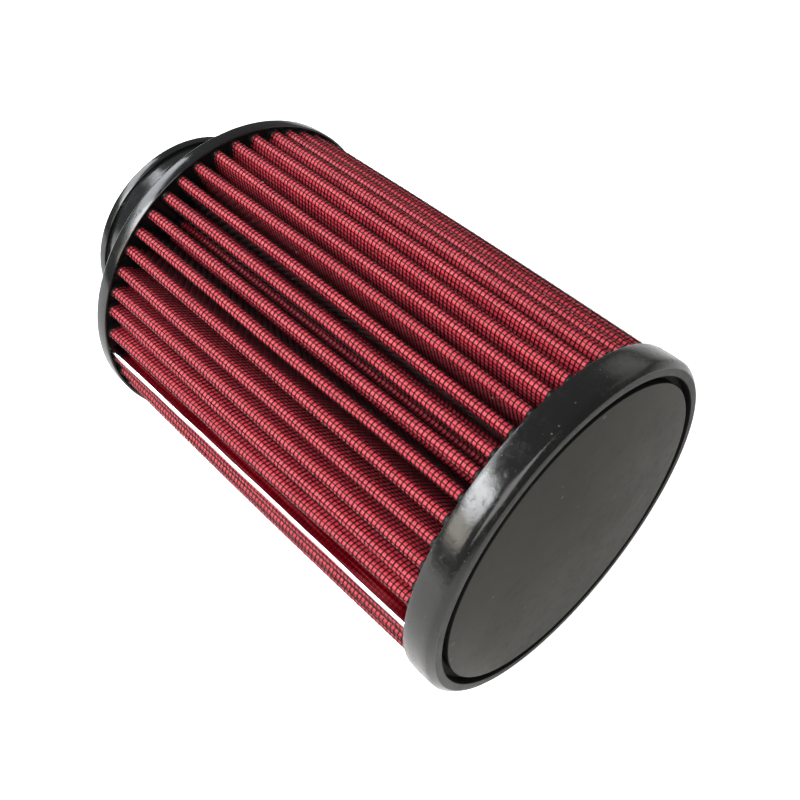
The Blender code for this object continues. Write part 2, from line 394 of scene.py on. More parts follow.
ringRubber = mouldedRubber("glossyRingRubber", {
    "colour": (0.007, 0.0072, 0.007), "scuffColour": (0.10, 0.10, 0.095), "gloss": 0.09, "dull": 0.42,
    "Patch Scale": 85.0, "Scratch Scale": 210.0, "Speck Scale": 620.0, "Speck Rarity": 0.90,
    "bump": 0.42, "specular": 0.5})
neckRubber = mouldedRubber("smoothNeckRubber", {
    "colour": (0.007, 0.0074, 0.0078), "scuffColour": (0.10, 0.10, 0.095), "gloss": 0.12, "dull": 0.30,
    "Patch Scale": 45.0, "Scratch Scale": 210.0, "Speck Scale": 620.0, "Speck Rarity": 0.96,
    "bump": 0.14, "specular": 0.5})
faceRubber = mouldedRubber("satinFaceRubber", {
    "colour": (0.013, 0.0135, 0.012), "scuffColour": (0.09, 0.09, 0.085), "gloss": 0.38, "dull": 0.52,
    "Patch Scale": 120.0, "Scratch Scale": 320.0, "Speck Scale": 1500.0, "Speck Rarity": 0.92,
    "bump": 0.2, "specular": 0.28})
# darker than the ring rubber: painted shade for the groove round the plate and the plate's edge
grooveShadeRubber = mouldedRubber("shadedGrooveRubber", {
    "colour": (0.004, 0.004, 0.004), "scuffColour": (0.02, 0.02, 0.02), "gloss": 0.6, "dull": 0.75,
    "Patch Scale": 120.0, "Scratch Scale": 320.0, "Speck Scale": 1500.0, "Speck Rarity": 0.92,
    "bump": 0.1, "specular": 0.12})
plateSatin = mouldedRubber("plateSatin", {
    "colour": (0.036, 0.0345, 0.029), "scuffColour": (0.17, 0.165, 0.15), "gloss": 0.32, "dull": 0.44,
    "Patch Scale": 40.0, "Scratch Scale": 110.0, "Speck Scale": 300.0, "Speck Rarity": 0.975,
    "bump": 0.04, "specular": 0.06})


def wireFinish(name, settings):
    material, tree, shader = newMaterial(name)
    place = objectPlace(tree)
    wear = addNode(tree, "ShaderNodeTexNoise", {"Vector": place, "Scale": 1500.0, "Detail": 2.0})
    bare = rampNode(tree, wear.outputs[0], 0.70, 0.76)
    tree.links.new(mixColours(tree, bare, (*settings["coat"], 1), (*settings["bare"], 1)),
                   shader.inputs["Base Color"])
    tree.links.new(mathNode(tree, "MULTIPLY", bare, 0.9), shader.inputs["Metallic"])
    worn = addNode(tree, "ShaderNodeTexNoise", {"Vector": place, "Scale": 400.0})
    rough = spreadNode(tree, worn.outputs[0], settings["gloss"], settings["dull"])
    tree.links.new(rough, shader.inputs["Roughness"])
    shader.inputs["Specular IOR Level"].default_value = settings["specular"]
    return material


outerWire = wireFinish("blackEpoxyWire", {
    "coat": (0.006, 0.004, 0.004), "bare": (0.45, 0.45, 0.40), "gloss": 0.28, "dull": 0.5,
    "specular": 0.14})


def brightStrip(settings):
    material, tree, shader = newMaterial("brightRolledStrip")
    place = objectPlace(tree)
    drawn = addNode(tree, "ShaderNodeMapping", {"Vector": place, "Scale": (0.03, 1.0, 1.0)})
    lines = addNode(tree, "ShaderNodeTexNoise", {
        "Vector": drawn.outputs[0], "Scale": 2600.0, "Detail": 2.0}).outputs[0]
    rough = spreadNode(tree, lines, settings["gloss"], settings["dull"])
    tree.links.new(rough, shader.inputs["Roughness"])
    bare = mixColours(tree, lines, (*settings["dark"], 1), (*settings["light"], 1))
    axes = addNode(tree, "ShaderNodeSeparateXYZ", {0: place})
    squares = [mathNode(tree, "POWER", axes.outputs[i], 2.0) for i in (1, 2)]
    radius = mathNode(tree, "SQRT", mathNode(tree, "ADD", *squares))
    # below the crown the metal is painted with a red reflection of the gauze
    level = mathNode(tree, "ADD", radius, mathNode(tree, "MULTIPLY", lines, settings["reflectionRagged"]))
    redReflectionMask = rampNode(tree, level, packHigh.z - settings["reflectionFrom"], packHigh.z - settings["reflectionFull"])
    reflectionStreaks = addNode(tree, "ShaderNodeTexNoise", {"Vector": drawn.outputs[0], "Scale": 900.0,
                                                   "Detail": 3.0})
    redReflectionColour = mixColours(tree, rampNode(tree, reflectionStreaks.outputs[0], 0.50, 0.66),
                       (*settings["oilCoatAndRedReflection"], 1), (*settings["paleReflectionStreak"], 1))
    tree.links.new(mixColours(tree, redReflectionMask, bare, redReflectionColour), shader.inputs["Base Color"])
    shader.inputs["Metallic"].default_value = 1.0
    tree.links.new(bumpFrom(tree, lines, 0.08, 0.00005), shader.inputs["Normal"])
    return material


clipMetal = brightStrip({
    "dark": (0.60, 0.60, 0.60), "light": (0.80, 0.80, 0.79), "gloss": 0.08, "dull": 0.22,
    "oilCoatAndRedReflection": (0.46, 0.065, 0.13), "paleReflectionStreak": (0.95, 0.60, 0.65),   # painted red reflection of the gauze on the strip's flanks, with paler painted streaks
    "reflectionFrom": 0.3 * mm, "reflectionFull": 0.9 * mm, "reflectionRagged": 0.5 * mm})
print("materials made")


pack = {
    "start": packLow.x,
    "end": packHigh.x,
    "top": packHigh.z - 0.30 * mm,      # crest line of the wires' middle
    "pleats": 49,
    "firstCrest": 12.3,                 # degrees from -Y towards +Z
    "lastCrest": 357.6,
    "clipAngle": 1.0,
    "crowding": (-1.6, -0.7, -0.8, -0.2),   # the crests next to the clip sit closer to it, degrees
    # how many degrees a crest at each angle is moved on, and how many it turns from end to end
    "spread": ((0, 0), (60, 0.2), (78, 0.5), (86, 1.2), (94, 2.0), (101, 3.0), (108, 4.2),
               (215, 0), (360, 0)),
    "twist": ((0, 2.6), (3, 2.6), (9, 3.8), (14, 3.6), (18, 2.0), (26, 1.1), (34, 0.9), (49, 0),
              (84, -1), (120, 0), (240, 0), (350, 2.4), (360, 2.6)),
    "crestRadius": 1.85 * mm,
    "rootRadius": 1.38 * mm,
    "depth": 15.3 * mm,                 # crest line to root line
    "clipTop": 2.0 * mm,                # how far below the crests the sheets' own ends stop
    "spacingJitter": 0.22,              # degrees
    "bulge": 0.55 * mm,                 # the pack swells a little between its ends
    "belly": 0.18 * mm,                 # the flanks bow outwards, by this much times two shares
    "bellyAlong": ((0, 0.05), (0.08, 0.35), (0.25, 1.0), (0.8, 1.0), (1.0, 0.7)),
    "bellyUp": ((0, 0), (0.3, 0.35), (0.6, 0.95), (0.8, 1.0), (0.9, 0.7), (0.97, 0.25), (1.0, 0)),
    "flatAtSeam": (11 * mm, 16 * mm),   # no belly up to the first, all of it past the second
    "halfSeam": 0.70 * mm,              # half the gap between the sheets' two ends
    "seamRise": 5 * mm,                 # their ends run straight from here above the roots
    "firstRootShift": -0.012,           # radians; the first root makes room for the clip
    "crestSteps": 14,
    "rootSteps": 6,
    "sway": 0.32 * mm,                  # a crest wanders this far sideways along its length
    "halfWaves": 1.3,                   # of the slowest sway, from end to end
    "seed": 7,
}
weave = {
    "pitch": 1.5875 * mm,               # 16 wires to the inch
    "hoopRadius": 0.16 * mm,
    "lengthRadius": 0.12 * mm,
    "crimp": 0.12 * mm,
    "sectors": 7,
    "puff": 0.34 * mm,                  # how far the gauze swells into a mesh opening
    "gauzeDrop": 0.26 * mm,             # gauze below the wires' middle, at a crossing
}


def seededCrests():
    draw = random.Random(pack["seed"])
    step = (pack["lastCrest"] - pack["firstCrest"]) / (pack["pleats"] - 1)
    angles = []
    for k in range(pack["pleats"]):
        angle = pack["firstCrest"] + step * k
        angle += float(np.interp(angle, *zip(*pack["spread"])))
        angles.append(angle + draw.uniform(-1, 1) * pack["spacingJitter"])
    for k, shift in enumerate(pack["crowding"]):
        angles[k] += shift
    return [math.radians(angle) for angle in angles]


crestAngles = seededCrests()
clipAngle = math.radians(pack["clipAngle"])


def twisted(angle, t):  # the screen was pulled over a little askew at the clip
    places, turns = zip(*pack["twist"])
    return np.radians(np.interp(np.degrees(angle) % 360, places, turns)) * (t - 0.5)


def sectionSpot(radius, angle):  # y and z of a point of the cross-section
    return np.array((-math.cos(angle), math.sin(angle))) * radius


def arcPoints(center, radius, start, end, count, turnUp):
    # from direction start to direction end, passing through direction turnUp
    a0 = math.atan2(start[1], start[0])
    mid = math.atan2(turnUp[1], turnUp[0])
    first = (mid - a0 + math.pi) % (2 * math.pi) - math.pi
    last = (math.atan2(end[1], end[0]) - mid + math.pi) % (2 * math.pi) - math.pi
    spots = []
    for i in range(count + 1):
        t = i / count
        turn = a0 + (first + last) * t
        away = np.array((math.cos(turn), math.sin(turn)))
        spots.append((center + radius * away, away))
    return spots


def flankNormal(crest, root, towardsSmaller):  # normal of the straight line that touches both bends
    gap = root - crest
    length = math.hypot(*gap)
    along = gap / length
    across = np.array((along[1], -along[0])) * (1 if towardsSmaller else -1)
    share = (pack["crestRadius"] + pack["rootRadius"]) / length
    return along * share + across * math.sqrt(1 - share * share)


def rootArc(root, before, after):  # a root bends the other way from a crest
    arc = arcPoints(root, pack["rootRadius"], -before, -after, pack["rootSteps"],
                    -root / math.hypot(*root))
    return [(spot, -turn) for spot, turn in arc]


def pleatOutline():  # points and outward normals from the clip, once round, back to the clip
    crestCenter = pack["top"] - pack["crestRadius"]
    rootCenter = pack["top"] - pack["depth"] + pack["rootRadius"]
    rootAngles = [(clipAngle + crestAngles[0]) / 2 + pack["firstRootShift"]]
    rootAngles += [(a + b) / 2 for a, b in zip(crestAngles, crestAngles[1:])]
    rootAngles.append((clipAngle + 2 * math.pi + crestAngles[-1]) / 2)
    rise = pack["top"] - pack["clipTop"]
    outline = []
    tangent = np.array((math.sin(clipAngle), math.cos(clipAngle)))
    halfSeam, foot = pack["halfSeam"], rootCenter + pack["seamRise"]
    outline.append((sectionSpot(rise, clipAngle) + tangent * halfSeam, tangent))
    outline.append((sectionSpot(foot, clipAngle) + tangent * halfSeam, tangent))
    before = tangent
    for k, angle in enumerate(crestAngles):
        crest = sectionSpot(crestCenter, angle)
        left = sectionSpot(rootCenter, rootAngles[k])
        right = sectionSpot(rootCenter, rootAngles[k + 1])
        up = flankNormal(crest, left, True)
        down = flankNormal(crest, right, False)
        outline += rootArc(left, before, up)
        outline += arcPoints(crest, pack["crestRadius"], up, down, pack["crestSteps"],
                             crest / math.hypot(*crest))
        before = down
    outline += rootArc(sectionSpot(rootCenter, rootAngles[-1]), before, -tangent)
    outline.append((sectionSpot(foot, clipAngle) - tangent * halfSeam, -tangent))
    outline.append((sectionSpot(rise, clipAngle) - tangent * halfSeam, -tangent))
    spots = np.array([spot for spot, turn in outline])
    turns = np.array([turn for spot, turn in outline])
    steps = np.hypot(*(spots[1:] - spots[:-1]).T)
    keep = np.concatenate(([True], steps > 1e-7))
    spots, turns = spots[keep], turns[keep]
    along = np.concatenate(([0], np.cumsum(np.hypot(*(spots[1:] - spots[:-1]).T))))
    return spots, turns, along


outlineSpots, outlineTurns, outlineAlong = pleatOutline()
flatWidth = outlineAlong[-1]
flatLength = pack["end"] - pack["start"]
swayDraw = np.random.default_rng(pack["seed"])
swayPhases = swayDraw.uniform(0, 2 * math.pi, (pack["pleats"] + 1, 3))
swayShares = swayDraw.uniform(0.3, 1.0, (pack["pleats"] + 1, 3))
bellyShares = swayDraw.uniform(0.25, 1.15, 2 * pack["pleats"] + 1)   # one for each flank


def flankPlaces():  # the cloth's middle line of each flank, counted round the pack
    tops = [outlineAlong[np.argmin(np.hypot(*(outlineSpots - sectionSpot(pack["top"], a)).T))]
            for a in crestAngles]
    places = [0]
    for before, after in zip(tops, tops[1:]):
        foot = (before + after) / 2
        places += [(before + foot) / 2, (foot + after) / 2]
    return [tops[0] / 2] + places[1:] + [(tops[-1] + flatWidth) / 2], np.arange(2 * pack["pleats"])


def foldIntoPleats(piece):
    # the flat mesh, x along the pack, y round it and z off the cloth, is folded and rolled up
    flat = points(piece)
    s = np.clip(flat[:, 1], 0, flatWidth)
    base = np.stack([np.interp(s, outlineAlong, outlineSpots[:, i]) for i in (0, 1)], 1)
    turn = np.stack([np.interp(s, outlineAlong, outlineTurns[:, i]) for i in (0, 1)], 1)
    turn /= np.hypot(turn[:, 0], turn[:, 1])[:, None]
    t = flat[:, 0] / flatLength
    rootLine = pack["top"] - pack["depth"]
    height = np.clip((np.hypot(base[:, 0], base[:, 1]) - rootLine) / pack["depth"], 0, 1)
    bow = np.interp(height, *zip(*pack["bellyUp"]))
    flank = np.interp(s, *flankPlaces())
    bow = bow * pack["belly"] * np.interp(t, *zip(*pack["bellyAlong"]))
    bow = bow * np.interp(flank, np.arange(len(bellyShares)), bellyShares)
    bow = bow * np.interp(np.minimum(s, flatWidth - s), pack["flatAtSeam"], (0, 1))
    across = base + turn * (flat[:, 2] + bow)[:, None]
    radius = np.hypot(across[:, 0], across[:, 1])
    angle = np.arctan2(across[:, 1], -across[:, 0])
    height = np.clip((radius - rootLine) / pack["depth"], 0, 1.05)
    order = np.interp(np.mod(angle - clipAngle, 2 * math.pi),
                      np.mod(np.array(crestAngles) - clipAngle, 2 * math.pi), np.arange(pack["pleats"]))
    nearest = np.rint(order).astype(int)
    wander = np.zeros(len(s))
    for wave in range(3):
        turns = (wave + 1) * math.pi * pack["halfWaves"]
        wander += swayShares[nearest, wave] * np.sin(turns * t + swayPhases[nearest, wave]) / (wave + 1)
    side = wander * pack["sway"] * height ** 1.5
    angle = angle + side / radius + twisted(angle, t)
    radius = radius + pack["bulge"] * np.sin(math.pi * t) * height
    spots = np.stack((pack["start"] + flat[:, 0], -np.cos(angle) * radius, np.sin(angle) * radius), 1)
    setPoints(piece, spots)
    layOutCloth(piece, flat)


def layOutCloth(piece, flat):  # the flat place of each point is kept as a UV map, in metres
    layer = piece.data.uv_layers.new(name="flatCloth")
    corner = np.zeros(len(piece.data.loops), dtype=np.int32)
    piece.data.loops.foreach_get("vertex_index", corner)
    layer.data.foreach_set("uv", flat[corner, :2].astype(np.float32).ravel())


cellsAlong = 2 * int(flatLength / weave["pitch"] / 2)
cellsRound = 2 * weave["sectors"] * round(flatWidth / weave["pitch"] / weave["sectors"] / 2)
cellLength = flatLength / cellsAlong
cellWidth = flatWidth / cellsRound
sectorCells = cellsRound // weave["sectors"]
print("flat cloth %.0f x %.0f mm, %d x %d mesh openings" % (
    flatWidth / mm, flatLength / mm, cellsRound, cellsAlong))


def oiledGauze(name, settings):
    material, tree, shader = newMaterial(name)
    flat = addNode(tree, "ShaderNodeUVMap", uv_map="flatCloth").outputs[0]
    cloth = addNode(tree, "ShaderNodeGroup", node_tree=threadGroup)
    tree.links.new(flat, cloth.inputs["Flat"])
    cloth.inputs["Thread Pitch"].default_value = settings["threadPitch"]
    dyed = mixColours(tree, cloth.outputs["Blotches"], (*settings["deep"], 1), (*settings["bright"], 1))
    colour = mixColours(tree, rampNode(tree, cloth.outputs["Threads"], 0.45, 0.0),
                        dyed, (*settings["between"], 1))
    cloth.inputs["Cell Length"].default_value = cellLength
    cloth.inputs["Cell Width"].default_value = cellWidth
    # painted wire shadow, with some oil: the gauze darkens towards the edge colour along the wires
    wireShadeMask = mathNode(tree, "MULTIPLY", cloth.outputs["Edges"], settings["wireShadeAndOil"])
    tree.links.new(mixColours(tree, wireShadeMask, colour, (*settings["edge"], 1)), shader.inputs["Base Color"])
    rough = spreadNode(tree, cloth.outputs["Threads"], settings["dull"], settings["gloss"])
    tree.links.new(rough, shader.inputs["Roughness"])
    shader.inputs["Specular IOR Level"].default_value = settings["specular"]
    shader.inputs["Coat Weight"].default_value = settings["oilCoatAndRedReflection"]
    shader.inputs["Coat Roughness"].default_value = 0.35
    tree.links.new(bumpFrom(tree, cloth.outputs["Threads"], 0.5, 0.00012), shader.inputs["Normal"])
    return material


outerCloth = oiledGauze("redOiledGauze", {
    "threadPitch": 0.00053, "deep": (0.43, 0.022, 0.040), "bright": (0.58, 0.044, 0.064),
    "between": (0.24, 0.008, 0.018), "edge": (0.05, 0.003, 0.006), "wireShadeAndOil": 0.85,
    "gloss": 0.45, "dull": 0.62, "specular": 0.34, "oilCoatAndRedReflection": 0.10})
innerCloth = oiledGauze("redInnerGauze", {
    "threadPitch": 0.00053, "deep": (0.40, 0.018, 0.038), "bright": (0.54, 0.035, 0.06),
    "between": (0.18, 0.005, 0.014), "edge": (0.05, 0.003, 0.006), "wireShadeAndOil": 0.5,
    "gloss": 0.5, "dull": 0.62, "specular": 0.25, "oilCoatAndRedReflection": 0.0})


def crimpedWire(name, along, start):
    # one wire over two openings: up at its ends, down in the middle
    deselectAll()
    length = 2 * (cellLength if along == 0 else cellWidth)
    turned = (0, math.pi / 2, 0) if along == 0 else (-math.pi / 2, 0, 0)
    thickness = weave["lengthRadius"] if along == 0 else weave["hoopRadius"]
    bpy.ops.mesh.primitive_cylinder_add(vertices=3, radius=thickness, depth=length,
                                        end_fill_type="NOTHING", rotation=turned)
    wire = bpy.context.object
    wire.name = name
    settle(wire)
    editAll()
    across = (1, 0, 0) if along == 0 else (0, 1, 0)
    bpy.ops.mesh.bisect(plane_co=(0, 0, 0), plane_no=across)
    pick(wire, "VERT", lambda v: abs(v.co[along]) < 0.1 * length)
    bpy.ops.transform.translate(value=(0, 0, -2 * weave["crimp"] * start))
    bpy.ops.mesh.select_all(action="SELECT")
    shift = [0, 0, weave["crimp"] * start]
    shift[along] = length / 2
    bpy.ops.transform.translate(value=shift)
    leaveEdit()
    return wire


def weaveTile():  # two wires each way over two openings, one over, one under
    wires = []
    for along, spacing in ((0, cellWidth), (1, cellLength)):
        for number in (0, 1):
            start = (-1 if along == 0 else 1) * (1 if number == 0 else -1)
            wire = crimpedWire("wire", along, start)
            editAll()
            shift = [0, 0, 0]
            shift[1 - along] = spacing * number
            bpy.ops.transform.translate(value=shift)
            leaveEdit()
            wires.append(wire)
    tile = joinAll(wires, wires[0])
    tile.name = tile.data.name = "weaveTile"
    return tile


def repeatFlat(tile, cells, alongCount, roundCount):  # the tile is this many openings each way
    for count, step in ((roundCount, (0, cells * cellWidth, 0)),
                        (alongCount, (cells * cellLength, 0, 0))):
        modifier(tile, "ARRAY", count=count, use_relative_offset=False, use_constant_offset=True,
                 constant_offset_displace=step, use_merge_vertices=True, merge_threshold=0.01 * mm)


def shiftFlat(piece, distance):
    editAll(piece)
    bpy.ops.transform.translate(value=(0, distance, 0))
    leaveEdit()


def foldSectors(swatch, name, slot, material, node):
    for sector in range(weave["sectors"]):
        part = copyOf(swatch, name % (sector + 1))
        shiftFlat(part, sector * sectorCells * cellWidth)
        foldIntoPleats(part)
        onFilter(part, slot, material, node)
    bpy.data.objects.remove(swatch)


def buildOuterScreen():
    swatch = weaveTile()
    repeatFlat(swatch, 2, cellsAlong // 2, sectorCells // 2)
    editAll(swatch)
    bpy.ops.mesh.fill_holes(sides=3)
    leaveEdit()
    bpy.ops.object.shade_smooth()
    foldSectors(swatch, "outerScreenPart%d", "screen_black_epoxy", outerWire, "outer_screen")
    print("outer screen woven in", weave["sectors"], "parts")


def buildOuterGauze():
    deselectAll()
    bpy.ops.mesh.primitive_plane_add(size=1)
    cell = bpy.context.object
    cell.scale = (cellLength, cellWidth, 1)
    cell.location = (cellLength / 2, cellWidth / 2, -weave["gauzeDrop"])
    settle(cell)
    repeatFlat(cell, 1, cellsAlong, sectorCells)
    editAll(cell)
    bpy.ops.mesh.poke(offset=weave["puff"])
    leaveEdit()
    bpy.ops.object.shade_smooth()
    foldSectors(cell, "outerGauzePart%d", "gauze_red_oiled", outerCloth, "gauze_ply_1")
    print("outer gauze puffed in", weave["sectors"], "parts")


def flatSheet(name, cellsWide, cellsLong, drop):  # a flat sheet, one face an opening wide
    deselectAll()
    bpy.ops.mesh.primitive_grid_add(x_subdivisions=cellsLong, y_subdivisions=cellsWide, size=1)
    sheet = bpy.context.object
    sheet.name = sheet.data.name = name
    sheet.scale = (flatLength, flatWidth, 1)
    sheet.location = (flatLength / 2, flatWidth / 2, -drop)
    settle(sheet)
    return sheet


plies = {
    "drops": (0.62 * mm, 0.80 * mm, 0.98 * mm),   # gauze plies 2 to 4 under the outer wires
    "cellsLong": 14,
    "innerScreenDrop": 1.30 * mm,
    "innerCells": 3,                              # openings of the inner screen shown on each root
}


def buildInnerPlies():
    for number, drop in enumerate(plies["drops"], 2):
        sheet = flatSheet("gauzePly%d" % number, cellsRound, plies["cellsLong"], drop)
        if number == 4:
            editAll()
            bpy.ops.mesh.flip_normals()           # the innermost ply is seen from inside
            leaveEdit()
        makeActive(sheet)
        bpy.ops.object.shade_smooth()
        foldIntoPleats(sheet)
        onFilter(sheet, "gauze_red_oiled", innerCloth, "gauze_ply_%d" % number)
    print("inner plies folded")


def straightWire(length, radius, turned, place, cuts=0):
    deselectAll()
    bpy.ops.mesh.primitive_cylinder_add(vertices=3, radius=radius, depth=length,
                                        rotation=turned, location=place)
    wire = bpy.context.object
    settle(wire)
    for cut in range(cuts):
        editAll()
        spot = place[0] - length / 2 + length * (cut + 1) / (cuts + 1)
        bpy.ops.mesh.bisect(plane_co=(spot, 0, 0), plane_no=(1, 0, 0))
        leaveEdit()
    return wire


def buildInnerScreen():  # only the roots are seen, through the neck
    cells, drop = plies["innerCells"], plies["innerScreenDrop"]
    width = cells * cellWidth
    hoop = straightWire(width, weave["lengthRadius"], (math.pi / 2, 0, 0), (cellLength / 2, 0, -drop))
    for cut in range(1, cells):
        editAll()
        bpy.ops.mesh.bisect(plane_co=(0, cut * cellWidth - width / 2, 0), plane_no=(0, 1, 0))
        leaveEdit()
    modifier(hoop, "ARRAY", count=cellsAlong, use_relative_offset=False, use_constant_offset=True,
             constant_offset_displace=(cellLength, 0, 0), use_merge_vertices=False)
    lengthwise = []
    for number in range(cells):
        place = (flatLength / 2, (number + 0.5) * cellWidth - width / 2, -drop - weave["lengthRadius"])
        lengthwise.append(straightWire(flatLength, weave["lengthRadius"], (0, math.pi / 2, 0), place, 4))
    joinAll(lengthwise + [hoop], hoop)
    bpy.ops.object.shade_smooth()
    rootLines = []
    for a, b in zip([clipAngle] + crestAngles, crestAngles + [clipAngle + 2 * math.pi]):
        middle = sectionSpot(pack["top"] - pack["depth"], (a + b) / 2)
        rootLines.append(outlineAlong[np.argmin(np.hypot(*(outlineSpots - middle).T))])
    strips = []
    for number, line in enumerate(rootLines):
        strip = copyOf(hoop, "innerStrip%d" % number)
        shiftFlat(strip, line)
        foldIntoPleats(strip)
        strips.append(strip)
    screen = joinAll(strips, strips[0])
    screen.name = screen.data.name = "innerScreen"
    bpy.data.objects.remove(hoop)
    onFilter(screen, "screen_black_epoxy", outerWire, "inner_screen")
    print("inner screen laid in", len(rootLines), "roots")


turnSteps = 168


def turnedPiece(name, corners):
    # corners are (place along the axis, radius, rounding) in mm; the outline is closed
    deselectAll()
    bpy.ops.mesh.primitive_plane_add(size=1 * mm)
    piece = bpy.context.object
    piece.name = piece.data.name = name
    spots = [Vector((x * mm, 0, r * mm)) for x, r, rounding in corners]
    editAll()
    bpy.ops.mesh.merge(type="CENTER")
    bpy.ops.transform.translate(value=spots[0])
    for here, there in zip(spots, spots[1:]):
        bpy.ops.mesh.extrude_region_move(TRANSFORM_OT_translate={"value": there - here})
    onAxis = spots[0].z < 1e-7 and spots[-1].z < 1e-7
    if not onAxis:
        pick(piece, "VERT", lambda v: (v.co - spots[0]).length < 1e-7 or (v.co - spots[-1]).length < 1e-7)
        bpy.ops.mesh.edge_face_add()
    for (x, r, rounding), spot in zip(corners, spots):
        if rounding:
            pick(piece, "VERT", lambda v: (v.co - spot).length < 1e-7)
            bpy.ops.mesh.bevel(affect="VERTICES", offset=rounding * mm,
                               segments=3 if rounding < 0.5 else 7, profile=0.5)
    bpy.ops.mesh.select_all(action="SELECT")
    bpy.ops.mesh.spin(steps=turnSteps, angle=2 * math.pi, center=(0, 0, 0), axis=(1, 0, 0))
    bpy.ops.mesh.select_all(action="SELECT")
    bpy.ops.mesh.remove_doubles(threshold=0.000002)
    bpy.ops.mesh.normals_make_consistent(inside=False)
    leaveEdit()
    makeActive(piece)
    bpy.ops.object.shade_smooth_by_angle(angle=math.radians(28))
    return piece


openEnd = {  # mm
    "bore": 35.0, "neck": 39.9, "lip": 40.8, "lipWidth": 3.7, "groove": 0.9, "grooveDepth": 0.35,
    "shoulder": 32.4, "fillet": 2.2, "rimWall": 0.9, "pottingDepth": 1.3, "rootInner": 43.2,
    "innerLipTop": 35.9, "innerLipDrop": 0.6,
}
closedEnd = {
    "corner": 1.6, "draft": 0.05, "recess": 57.7, "bulge": 0.35, "recessDepth": 3.3, "floor": 3.0,
    "rimWall": 1.15, "pottingDepth": 1.4, "rootInner": 43.2, "plateEdge": 0.3,
    "cone": (1.5, 1.6), "floorDrop": 2.5,
}


def buildOpenEnd():
    e = openEnd
    rim, ring = openHigh.x / mm, openHigh.z / mm
    inner = ring - e["rimWall"]
    potting = rim - e["pottingDepth"]
    grooveEnd, grooveFloor = e["lipWidth"] + e["groove"], e["neck"] - e["grooveDepth"]
    piece = turnedPiece("openEndMoulding", [
        (0, e["bore"], 0.5), (0, e["lip"], 0.7), (e["lipWidth"], e["lip"], 0.25),
        (e["lipWidth"], grooveFloor, 0.1), (grooveEnd, grooveFloor, 0.1),
        (grooveEnd, e["neck"], 0.15), (e["shoulder"], e["neck"], e["fillet"]), (e["shoulder"], ring, 1.0),
        (rim, ring, 0.35), (rim, inner, 0.15), (potting, inner, 0.25), (potting, e["rootInner"], 0.3),
        (e["innerLipTop"], e["rootInner"] - e["innerLipDrop"], 0.3), (e["innerLipTop"], e["bore"], 0.8)])
    onFilter(piece, "open_end_polyurethane", neckRubber, "open_end_moulding")
    print("open end turned")


def buildClosedEnd():
    e = closedEnd
    rim, face = closedLow.x / mm, closedHigh.x / mm
    ring = closedHigh.z / mm
    edge = ring - e["bulge"]
    inner = edge - e["rimWall"]
    potting = rim + e["pottingDepth"]
    middle = (rim + face) / 2
    recessFloor = face - e["recessDepth"]
    inside = recessFloor - e["floor"]
    corners = [
        (recessFloor, 0, 0), (recessFloor, e["recess"], 0.4), (face, e["recess"], 0.2),
        (face, edge - e["corner"], 0.4), (face - e["corner"], edge - e["draft"], 0.45)]
    for share in (0.3, 0.15, 0.0, -0.15, -0.3):   # the barrel-shaped side wall
        corners.append((middle + share * (face - rim), edge + e["bulge"] * (1 - 4 * share ** 2), 0))
    corners += [
        (rim, edge, 0.35), (rim, inner, 0.15), (potting, inner, 0.25), (potting, e["rootInner"], 0.3),
        (potting + e["cone"][0], e["rootInner"] - e["cone"][1], 0.2),
        (inside, e["rootInner"] - e["floorDrop"], 0.2), (inside, 0, 0)]
    piece = turnedPiece("closedEndMoulding", corners)
    onFilter(piece, "closed_end_polyurethane", ringRubber, "closed_end_moulding")
    piece.data.materials.append(faceRubber)
    piece.data.materials.append(grooveShadeRubber)
    for side in piece.data.polygons:
        away = math.hypot(side.center.y, side.center.z)
        if side.normal.x > 0.98 and side.center.x > (face - 0.1) * mm:
            side.material_index = 1
        if side.center.x > (recessFloor - 0.1) * mm and away < (e["recess"] + 0.15) * mm:
            side.material_index = 2    # the recess round the plate is dull and darker: painted shade in the groove
    print("closed end turned")


bubbles = (  # burst in the moulding: on the closed end or not, place along it, angle, radius
    (True, 0.34, 141.0, 0.75 * mm), (True, 0.22, 133.5, 0.45 * mm), (True, 0.62, 87.0, 0.5 * mm),
    (False, 0.45, 52.0, 0.7 * mm), (False, 0.62, 54.0, 0.5 * mm), (False, 0.35, 250.0, 0.6 * mm))
bubbleRim = 0.09 * mm
barrelSink = 0.12 * mm   # the closed end's side wall lies this much inside its largest radius


def buildBubbles():
    rings = {True: [], False: []}
    for onClosed, place, angle, size in bubbles:
        deselectAll()
        turn = math.radians(angle)
        low, high, radius = closedLow.x, closedHigh.x, closedHigh.z - barrelSink
        if not onClosed:
            low, high, radius = openEnd["shoulder"] * mm, openHigh.x, openHigh.z
        spot = (low + place * (high - low), -math.cos(turn) * radius, math.sin(turn) * radius)
        bpy.ops.mesh.primitive_torus_add(major_radius=size, minor_radius=bubbleRim, major_segments=24,
                                         minor_segments=6, location=spot,
                                         rotation=(math.pi / 2 - turn, 0, 0))
        settle(bpy.context.object)
        bpy.ops.object.shade_smooth()
        rings[onClosed].append(bpy.context.object)
    for onClosed, name, slot, node in (
            (True, "closedBubbles", "closed_end_polyurethane", "closed_end_moulding"),
            (False, "openBubbles", "open_end_polyurethane", "open_end_moulding")):
        joined = joinAll(rings[onClosed], rings[onClosed][0])
        joined.name = joined.data.name = name
        onFilter(joined, slot, ringRubber, node)
    print("bubbles burst on both mouldings")


def buildEndPlate():
    face, back, radius = plateHigh.x / mm, plateLow.x / mm, plateHigh.z / mm
    piece = turnedPiece("endPlate", [
        (face, 0, 0), (face, radius, closedEnd["plateEdge"]), (back, radius, 0.15), (back, 0, 0)])
    onFilter(piece, "end_plate_satin", plateSatin, "end_plate")
    piece.data.materials.append(grooveShadeRubber)
    for side in piece.data.polygons:   # the plate's edge is dark: painted shade in the gap round it
        if abs(side.normal.x) < 0.6:
            side.material_index = 1
    print("end plate turned")


